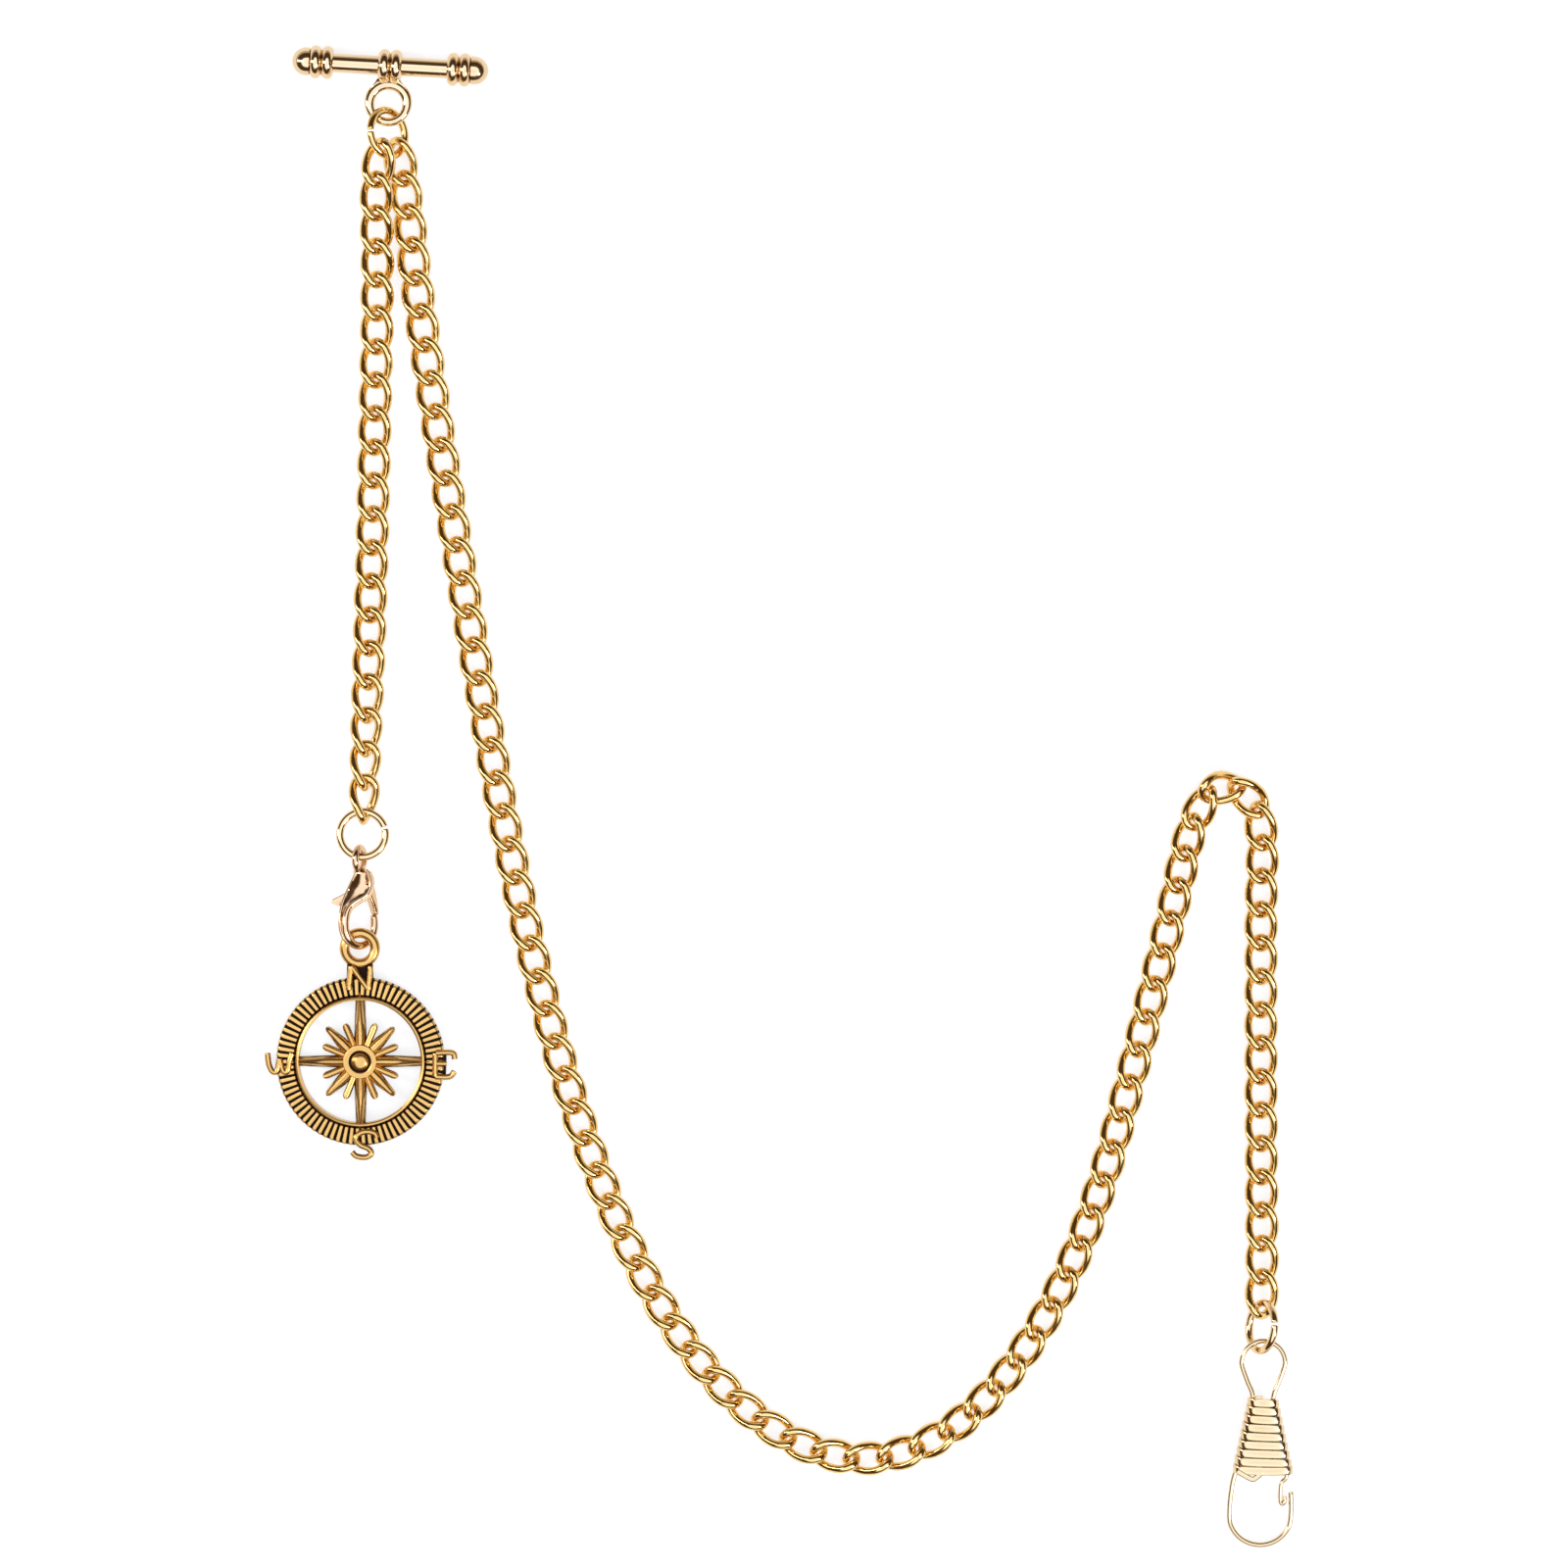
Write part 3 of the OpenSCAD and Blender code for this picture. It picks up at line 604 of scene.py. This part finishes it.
class CHAIN_OT_clasp(bpy.types.Operator):
    """Builds the clasp: ribbed body with its hook and eye, rivet and sprung gate"""
    bl_idname = "watch_chain.clasp"
    bl_label = "Lobster Clasp"

    def execute(self, context):
        s = context.scene.watch_chain.clasp
        half_t, gate_half, hook_r = s.thickness / MM / 2, s.gate / MM / 2, s.hook_r / MM
        # the hook, rivet and gate blade lie in the tilted plane; the body's face is made looking straight up
        face_on = place((-53.35, -16.85, 2.3), (1.5, 0, -1))
        tilt = math.radians(45.5)
        tilted = Matrix.Rotation(tilt, 4, "Y")
        on_clasp = face_on @ tilted
        rosy = finish("Rosy gold")
        bm = bmesh.new()
        # (y, left edge, right edge, height) down the hollow face
        face = [(7.3, -0.45, 0.75, 0.34), (6.5, -0.78, 1.1, 0.52), (5.6, -1.12, 1.3, 0.74), (4.8, -1.45, 1.2, 0.92),
                (4.1, -1.76, 0.85, 1.02), (3.5, -2.0, 0.1, 1.16), (2.8, -2.24, -1.0, 1.36), (2.0, -2.42, -1.6, 1.52),
                (1.0, -2.5, -1.9, 1.66)]
        route = rounded([((l + r) / 2, y, h - 0.1) for y, l, r, h in face], 5)
        half_width = lambda y: table([(-row[0], (row[2] - row[1]) / 2) for row in face], -y)
        middle = lambda y: table([(-row[0], (row[2] + row[1]) / 2) for row in face], -y)
        leaning = [(0.25, 0, 1)] * len(route)
        for v in sweep(bm, route, [(half_width(p.y), 0.16) for p in route], leaning, sides=24, square=1.6):
            across = (v.co.x - middle(v.co.y)) / half_width(v.co.y)
            v.co.z -= 0.34 * half_width(v.co.y) * max(0.0, 1 - across * across)
        # the bright outer rim, then the back of the body behind it
        rim = rounded([(-0.3, 7.35, 0.62), (-0.75, 6.4, 0.68), (-1.2, 5.4, 0.8), (-1.66, 4.4, 0.95), (-2.05, 3.4, 1.2),
                       (-2.34, 2.3, 1.42),
                       (-2.48, 1.2, 1.6), (-2.46, 0.1, 1.68), (-2.26, -0.9, 1.6), (-1.85, -1.75, 1.3), (-1.2, -2.35, 0.9)], 4)
        sweep(bm, rim, [(0.21, 0.24)] * len(rim), sides=14)
        low = [p - Vector((-0.12, 0, 0.62)) for p in rim if p.y < 2.4]
        sweep(bm, low, [(0.26, 0.6)] * len(low), sides=14, square=1.2)
        # the curved ridge that runs from the neck across the face and becomes the hook, ending in an upright nose
        arc = [tilted @ Vector((hook_r * math.cos(math.radians(d)), hook_r * math.sin(math.radians(d)),
                                0)) for d in range(192, 361, 12)]
        nose = [tilted @ Vector(p) for p in ((2.48, 0.55, 0), (2.42, 1.05, 0), (2.38, 1.4, 0))]
        ridge = [Vector(p) for p in ((0.72, 7.25, 0.72), (1.12, 6.3, 0.82), (1.3, 5.45, 0.9), (1.16, 4.65, 1.0),
                                     (0.66, 3.9, 1.15),
                                     (-0.25, 3.35, 1.34), (-1.1, 2.72, 1.52), (-1.58, 1.85, 1.66), (-1.76, 0.9, 1.76),
                                     (-1.78, 0, 1.78))]
        route = rounded(ridge + arc + nose, 4)
        bends, last = len(ridge) * 4, len(route) - 1
        sizes, ups = [], []
        for i in range(last + 1):
            sizes.append((table([(0, 0.24), (16, 0.27), (24, 0.33), (32, 0.46), (40, 0.52), (last - 12, 0.5),
                                 (last - 3, 0.46), (last, 0.3)], i),
                          table([(0, 0.28), (24, 0.36), (36, 0.5), (last - 3, 0.5), (last, 0.32)], i)))
            lean = tilt * min(1, max(0, (i - bends + 12) / 16))
            ups.append((math.sin(lean), 0, math.cos(lean)))
        sweep(bm, route, sizes, ups, sides=18)
        under = rounded([p + Vector((0.18, -0.26, -0.62)) for p in ridge[2:9]], 4)
        sweep(bm, under, [(0.26, 0.55)] * len(under), sides=14, square=1.3)
        # cheeks either side of the gate's pivot
        side = [(0.2, 7.25), (0.95, 6.95), (1.4, 6.2), (1.55, 5.4), (1.2, 4.9), (0.55, 5.2), (0.1, 6.3)]
        plate(bm, side, gate_half + 0.1, gate_half + 0.5, edge=0.08, matrix=tilted)
        side = [(0.45, 7.3), (-0.1, 6.2), (-0.35, 5.0), (-0.5, 3.9), (0.4, 3.9), (1.15, 4.8), (1.35, 5.6), (1.1, 6.6),
                (0.85, 7.3)]
        plate(bm, side, -half_t, -gate_half - 0.1, edge=0.1, matrix=tilted)
        # neck and eye
        neck = [(-0.1, 6.85, 0), (-0.15, 7.25, 0), (-0.25, 7.65, 0)]
        bmesh.ops.transform(bm, matrix=tilted, verts=sweep(bm, neck, [(0.95, 1.1), (0.72, 0.8), (0.48, 0.5)], sides=16))
        torus(bm, 1.45, 0.44, steps=48, sides=16, matrix=tilted @ place((-0.25, 8.55, 0), (0, 25, 0)))
        finish_piece(bm, "clasp_shell", face_on, rosy, "clasp", ["clasp_body"])
        bm = bmesh.new()
        foot, head = -half_t - 0.1, gate_half + 0.58
        lathe(bm, [(0, foot), (0.2, foot), (0.34, foot + 0.08), (0.34, head - 0.08), (0.2, head), (0, head)], 32,
              place((0.5, 5.5, 0)))
        finish_piece(bm, "clasp_rivet_head", on_clasp, rosy, "clasp", ["clasp_rivet"])
        blade = [p.to_2d() for p in rounded([
            (0.1, 5.9, 0), (0.6, 6.15, 0), (1.15, 6.05, 0), (1.75, 5.4, 0), (2.3, 4.0, 0), (2.66, 2.4, 0), (2.78, 1.55, 0),
            (2.4, 1.45, 0),
            (2.1, 2.1, 0), (1.5, 3.4, 0), (0.75, 4.6, 0), (0.15, 5.1, 0)], 3, closed=True)]
        bm = bmesh.new()
        plate(bm, blade, -gate_half, gate_half, edge=0.09, rim=0.2, sunk=0.16, matrix=tilted)
        thumb = [p.to_2d() for p in rounded([
            (0.9, 5.8, 0), (0.2, 6.0, 0), (-0.7, 5.1, 0), (-1.7, 4.4, 0), (-2.5, 3.9, 0), (-3.45, 3.4, 0), (-3.68, 3.08, 0),
            (-3.4, 2.75, 0),
            (-2.7, 2.5, 0), (-1.9, 3.1, 0), (-0.9, 3.9, 0), (0.2, 4.7, 0), (0.9, 5.1, 0)], 3, closed=True)]
        plate(bm, thumb, -0.4, 0.16, edge=0.12)
        finish_piece(bm, "clasp_tongue", face_on, rosy, "gate", ["clasp_gate"])
        bm = bmesh.new()
        route = [(0.2 * math.cos(t), 0.2 * math.sin(t), -0.12 + 0.24 * t / 15) for t in [i * 0.42 for i in range(37)]]
        sweep(bm, route, (0.05, 0.05), sides=8)
        finish_piece(bm, "clasp_coil", on_clasp @ place((-0.45, 6.28, -0.4), (0, 90, 30)), finish("Spring steel"), "clasp",
                     ["clasp_spring"])
        return {"FINISHED"}


class CHAIN_OT_charm(bpy.types.Operator):
    """Casts the compass charm: ridged ring, sixteen-point rose, letters and bail, with a relief attribute for its patina"""
    bl_idname = "watch_chain.charm"
    bl_label = "Compass Charm"

    def execute(self, context):
        s = context.scene.watch_chain.charm
        outer, inner, t = s.outer_r / MM, s.inner_r / MM, s.thickness / MM
        bm = bmesh.new()
        relief = bm.verts.layers.float.new("relief")

        def mark(verts, value):
            for v in verts:
                v[relief] = value(v.co) if callable(value) else value

        # the ring: a smooth inner rim, then a band of ridges
        top = t - 0.05
        outline = [(inner, 0.12), (inner, top - 0.12), (inner + 0.06, top + 0.06), (inner + 0.22, top + 0.12),
                   (inner + 0.4, top + 0.06),
                   (inner + 0.5, top - 0.2), (inner + 0.56, top - 0.42), (inner + 0.7, top - 0.1)]
        steps = 7
        outline += [(inner + 0.75 + i * (outer - 0.25 - inner - 0.75) / steps, top - 0.02 - 0.01 * i) for i in range(steps + 1)]
        outline += [(outer - 0.12, top - 0.2), (outer - 0.02, top - 0.4), (outer, top - 0.6), (outer, 0.12), (outer - 0.12, 0),
                    (inner + 0.12, 0), (inner, 0.12)]
        made = lathe(bm, outline, s.ridges * 8)
        for v in made:
            r, angle = v.co.to_2d().length, math.atan2(v.co.y, v.co.x)
            wave = math.cos(angle * s.ridges)
            proud = max(0.0, min(1.0, 0.95 + 1.3 * wave))
            on_band = max(0.0, min(1.0, (r - inner - 0.5) / 0.2)) * (1 if v.co.z > 0.5 else 0)
            v.co.z -= 0.34 * (1 - proud) * on_band
            if v.co.z > 0.3 and r > outer - 0.1:
                v.co.xy *= 1 - 0.012 * (1 - proud)
            groove = 1 - max(0.0, 1 - abs(r - inner - 0.56) / 0.14)
            v[relief] = (proud if on_band else 1.0) * (0.15 + 0.85 * groove) if v.co.z > 0.35 else 0.35

        def ray(widths, crest, spread, low=0.62):
            """One point of the rose along +Y: (radius, half width) rows, with a crest down its middle."""
            radii = [r + (q - r) * i / 4 for (r, _), (q, _) in zip(widths, widths[1:]) for i in range(4)] + [widths[-1][0]]
            made_ray = sweep(bm, [(0, r, low) for r in radii], [(table(widths, r), 0.52) for r in radii], sides=16,
                             square=spread)
            for v in made_ray:
                if v.co.z > low:
                    v.co.z = low + (v.co.z - low) * crest
                    v[relief] = 0.45 + 0.55 * (v.co.z - low) / (0.52 * crest)
                else:
                    v[relief] = 0.1
            return made_ray

        spike = [(1.4, 0.62), (3.6, 0.72), (7.6, 0.36), (8.7, 0.17), (8.95, 0.06)]
        leaf = [(1.4, 0.7), (3.4, 0.76), (5.2, 0.5), (5.8, 0.42), (6.05, 0.26), (6.15, 0.1)]
        petal = [(1.4, 0.4), (3.2, 0.44), (4.6, 0.48), (4.9, 0.42), (5.1, 0.28), (5.18, 0.1)]
        backing = [(1.6, 0.86), (7.9, 0.62)]
        for count, first, shape, crest, spread, low in (
                (4, 0, backing, 0.3, 1.6, 0.45), (4, 0, spike, 1.75, 0.92, 0.62), (4, 45, leaf, 1.4, 0.95, 0.62),
                (8, 22.5, petal, 1.2, 1.2, 0.62)):
            for i in range(count):
                turned = ray(shape, crest, spread, low)
                bmesh.ops.rotate(bm, cent=(0, 0, 0), matrix=Matrix.Rotation(-math.radians(first + i * 360 / count), 3, "Z"),
                                 verts=turned)
                if shape is backing:
                    mark(turned, 0.42)
        hub = [(0, 0.1), (2.05, 0.1), (2.2, 0.3), (2.2, t - 0.1), (2.1, t + 0.16), (1.75, t + 0.24), (1.45, t + 0.14),
               (1.32, t - 0.15),
               (1.16, t - 0.15), (1.08, t + 0.02), (0.8, t + 0.2), (0.42, t + 0.28), (0, t + 0.3)]
        mark(lathe(bm, hub, 64), lambda c: 0.05 if 1.1 < c.to_2d().length < 1.42 and c.z > t - 0.3 else 0.95 if c.z > t - 0.15 else 0.25)

        # the plate under the N, and the letters as rounded strokes
        plate_outline = [(-1.75, 8.9), (-1.6, 12.6), (1.6, 12.6), (1.75, 8.9)]
        mark(plate(bm, plate_outline, 0.1, t - 0.35, edge=0.08), 0.1)
        letters = [
            [(-1.4, 9.15), (-1.05, 12.2)], [(-1.05, 12.2), (1.1, 9.3)], [(1.42, 12.2), (1.12, 9.2)],
            [(-11.8, 1.1), (-11.65, -0.3), (-11.2, -1.25), (-10.6, -1.15), (-10.25, 0.4)],
            [(-10.25, 0.4), (-9.85, -1.15), (-9.25, -1.2), (-9.0, 0.1), (-8.65, 1.1)],
            [(12.1, 0.35), (11.85, 1.15), (9.75, 1.15)], [(9.65, 1.15), (9.6, -1.85)],
            [(9.6, -1.85), (11.4, -1.9), (12.1, -1.2)],
            [(9.8, -0.2), (11.1, -0.2)],
            [(2.1, -9.7), (1.9, -9.15), (1.0, -8.9), (0, -9.1), (-0.6, -9.8), (0, -10.6), (1.0, -11.05), (1.45, -11.7),
             (0.7, -12.2),
             (-0.5, -12.05), (-1.05, -11.5)],
        ]
        letter_z = t - 0.1
        for stroke in letters:
            route = rounded([(x, y, letter_z) for x, y in stroke], 6)
            mark(sweep(bm, route, (0.38, 0.44), sides=12, square=1.1), lambda c: 1.0 if c.z > letter_z + 0.05 else 0.1)
        mark(plate(bm, [(9.4, 1.2), (11.0, 1.2), (10.9, -1.9), (9.3, -1.9)], 0.15, t - 0.45, edge=0.06), 0.1)
        for v in bm.verts:
            if v[relief] == 0:
                v[relief] = 0.85 if v.co.z > letter_z else 0.1

        mark(torus(bm, 1.95, 0.65, steps=64, sides=20, matrix=place((0, 14.45, t / 2))),
             lambda c: 0.45 + 0.55 * max(0.0, (c.z - 0.3) / 1.1))
        finish_piece(bm, "compass", place((-53.3, -34.05, 0.7), (2.5, -3, 0)), finish("Antique gold"), "charm",
                     ["compass_charm"])
        return {"FINISHED"}


class CHAIN_OT_clip(bpy.types.Operator):
    """Winds the watch clip: frame wire, tapered winding of flat wire and sprung latch"""
    bl_idname = "watch_chain.clip"
    bl_label = "Watch Clip"

    def execute(self, context):
        s = context.scene.watch_chain.clip
        r, low_y = s.wire_d / MM / 2, -9.3
        on_clip = place((61.6, -86.6 + low_y, r + 0.1)) @ place((0, 0, 0), (6, 0, 0)) @ place((0, -low_y, 0))
        pale = finish("Pale clip gold")
        length, eye_r = 9.9, 2.75
        eye_y = length + 4.5
        route = [(1.15, 1, 0), (1.2, length * 0.6, 0), (1.3, length, 0)]
        route += [(2.0, length + 2, 0)]
        route += [(eye_r * math.cos(math.radians(d)), eye_y + eye_r * math.sin(math.radians(d)), 0) for d in range(-10, 191,
                                                                                                                   20)]
        route += [(-2.0, length + 2, 0), (-1.3, length, 0), (-1.4, length * 0.6, 0), (-2.2, 3, 0), (-3.55, 0, 0),
                  (-4, -2.2, 0), (-4.2, -4.2, 0)]
        route += [(3.95 * math.cos(math.radians(d)) - 0.3, -5.3 + 3.87 * math.sin(math.radians(d)), 0) for d in range(190,
                                                                                                                      350, 17)]
        route += [(3.65, -4.6, 0), (3.6, -2.3, 0)]
        bm = bmesh.new()
        sweep(bm, rounded(route, 4), (r, r), sides=14)
        finish_piece(bm, "clip_wire", on_clip, pale, "clip", ["clip_frame"])

        # one flat wire wound round the legs, wider with every turn towards the hook
        bm = bmesh.new()
        turn_h, wall, per_turn = length / s.turns, 0.42, 40
        depth = s.thickness / MM
        route, ups = [], []
        for i in range(s.turns * per_turn + 1):
            turn, angle = i / per_turn, 2 * math.pi * i / per_turn
            y = turn_h * (0.5 + min(max(turn - 0.5, 0), s.turns - 1))
            w = 7.7 - (7.7 - 4.0) * (y - turn_h / 2) / (length - turn_h) - wall
            flat = (w - depth + wall) / 2
            x, z = math.cos(angle - math.pi / 2), math.sin(angle - math.pi / 2)
            route.append((x * (depth - wall) / 2 + flat * max(-1, min(1, 1.9 * x)), y, z * (depth - wall) / 2))
            ups.append((0, 1, 0))
        sweep(bm, route, (wall / 2, turn_h * 0.485), ups, sides=12, square=1.7)
        front = (depth - wall) / 2
        tail = rounded([(-3.3, 0.55, front), (-2.5, 0.1, front), (-1.45, -0.45, front), (-0.95, -0.3, front),
                        (-0.1, 0.45, front)], 5)
        sweep(bm, tail, (0.34, wall / 2), sides=12, square=1.5)
        finish_piece(bm, "clip_wound_wire", on_clip, pale, "clip", ["clip_winding"])

        bm = bmesh.new()
        route = rounded([(2.3, 1.6, 0), (2.9, 0.3, 0), (3, -0.5, 0), (2.35, -1.3, 0), (2.25, -3.3, 0), (2.45, -3.85, 0),
                         (2.8, -3.6, 0),
                         (2.8, -2.9, 0)], 6)
        sweep(bm, route, (s.latch_d / MM / 2, s.latch_d / MM / 2), sides=12)
        finish_piece(bm, "clip_spring_latch", on_clip, pale, "latch", ["clip_latch"])
        return {"FINISHED"}


class CHAIN_OT_stage(bpy.types.Operator):
    """Sets the pale floor, the soft lights, the sky and the camera above"""
    bl_idname = "watch_chain.stage"
    bl_label = "Stage"

    def execute(self, context):
        scene = context.scene
        bm = bmesh.new()
        bmesh.ops.create_grid(bm, x_segments=2, y_segments=2, size=1.2,
                              matrix=Matrix.Translation((0, 0, frame_box[0][2] - 0.0001)))
        mesh = bpy.data.meshes.new("floor")
        bm.to_mesh(mesh)
        bm.free()
        floor = bpy.data.objects.new("floor", mesh)
        scene.collection.objects.link(floor)
        white = bpy.data.materials.new("White paper")
        white.use_nodes = True
        shader = white.node_tree.nodes["Principled BSDF"]
        shader.inputs["Base Color"].default_value = (0.4, 0.4, 0.4, 1)
        shader.inputs["Roughness"].default_value = 0.9
        shader.inputs["Specular IOR Level"].default_value = 0.1
        shader.inputs["Emission Color"].default_value = (1, 1, 1, 1)
        shader.inputs["Emission Strength"].default_value = 0.72
        mesh.materials.append(white)

        def lamp(name, at, aim, size, power, size_y):
            data = bpy.data.lights.new(name, "AREA")
            data.energy, data.shape = power, "RECTANGLE"
            data.size, data.size_y = size, size_y
            light = bpy.data.objects.new(name, data)
            light.location = at
            light.rotation_euler = (Vector(aim) - Vector(at)).to_track_quat("-Z", "Y").to_euler()
            scene.collection.objects.link(light)

        lamp("left softbox", (-0.55, 0.1, 0.4), (0, 0, 0), 0.12, 1.6, size_y=0.6)
        lamp("right softbox", (0.5, -0.35, 0.55), (0, 0, 0), 0.2, 2.2, size_y=0.3)

        # a wide diffuser overhead, leaning towards the near side, over a dim warm room
        world = bpy.data.worlds.new("Studio")
        world.use_nodes = True
        scene.world = world
        n, link = world.node_tree.nodes, world.node_tree.links.new
        where = node(n, "ShaderNodeTexCoord")
        facing = node(n, "ShaderNodeVectorMath", operation="DOT_PRODUCT")
        facing.inputs[1].default_value = Vector((0.05, -0.22, 0.97)).normalized()
        ramp = node(n, "ShaderNodeValToRGB")
        stops = [(0.0, (0.3, 0.29, 0.27)), (0.52, (0.3, 0.27, 0.24)), (0.6, (0.04, 0.025, 0.012)),
                 (0.865, (0.045, 0.028, 0.014)),
                 (0.912, (0.82, 0.88, 1.0)), (0.97, (0.78, 0.85, 0.98)), (1.0, (0.66, 0.72, 0.86))]
        while len(ramp.color_ramp.elements) < len(stops):
            ramp.color_ramp.elements.new(0.5)
        for stop, (at, colour) in zip(ramp.color_ramp.elements, stops):
            stop.position, stop.color = at, (*colour, 1)
        to_unit = node(n, "ShaderNodeMapRange")
        to_unit.inputs["From Min"].default_value = -1.0
        link(where.outputs["Generated"], facing.inputs[0])
        link(facing.outputs["Value"], to_unit.inputs["Value"])
        link(to_unit.outputs["Result"], ramp.inputs["Fac"])
        link(ramp.outputs["Color"], n["Background"].inputs["Color"])
        n["Background"].inputs["Strength"].default_value = 1.9
        scene.view_settings.view_transform = "Standard"

        camera = bpy.data.cameras.new("camera")
        camera.sensor_width, camera.lens = 36, 36 * 1.1 / 0.2
        camera.clip_start, camera.clip_end = 0.01, 10
        view = bpy.data.objects.new("camera", camera)
        view.location = (0.000625, 0.00125, 1.1)
        scene.collection.objects.link(view)
        scene.camera = view
        return {"FINISHED"}


class CHAIN_PT_panel(bpy.types.Panel):
    """Lists the chain's pieces in the order they are built"""
    bl_idname = "CHAIN_PT_panel"
    bl_label = "Watch Chain"
    bl_space_type = "VIEW_3D"
    bl_region_type = "UI"
    bl_category = "Watch Chain"

    def draw(self, context):
        for operator in PIECES:
            self.layout.operator(operator.bl_idname)
        for group in ("chain", "t_bar", "clasp", "charm", "clip"):
            box = self.layout.box()
            box.label(text=group)
            sizes = getattr(context.scene.watch_chain, group)
            for name in sizes.__annotations__:
                box.prop(sizes, name)


PIECES = (CHAIN_OT_stage, CHAIN_OT_links, CHAIN_OT_rings, CHAIN_OT_t_bar, CHAIN_OT_clasp, CHAIN_OT_charm, CHAIN_OT_clip)
CLASSES = (ChainSizes, TBarSizes, ClaspSizes, CharmSizes, ClipSizes, WatchChain, *PIECES, CHAIN_PT_panel)


def register():
    for cls in CLASSES:
        bpy.utils.register_class(cls)
    bpy.types.Scene.watch_chain = PointerProperty(type=WatchChain)


def unregister():
    del bpy.types.Scene.watch_chain
    for cls in reversed(CLASSES):
        bpy.utils.unregister_class(cls)


def main():
    register()
    bpy.ops.watch_chain.stage()
    bpy.ops.watch_chain.links()
    bpy.ops.watch_chain.rings()
    bpy.ops.watch_chain.t_bar()
    bpy.ops.watch_chain.clasp()
    bpy.ops.watch_chain.charm()
    bpy.ops.watch_chain.clip()


if __name__ == "__main__":
    main()
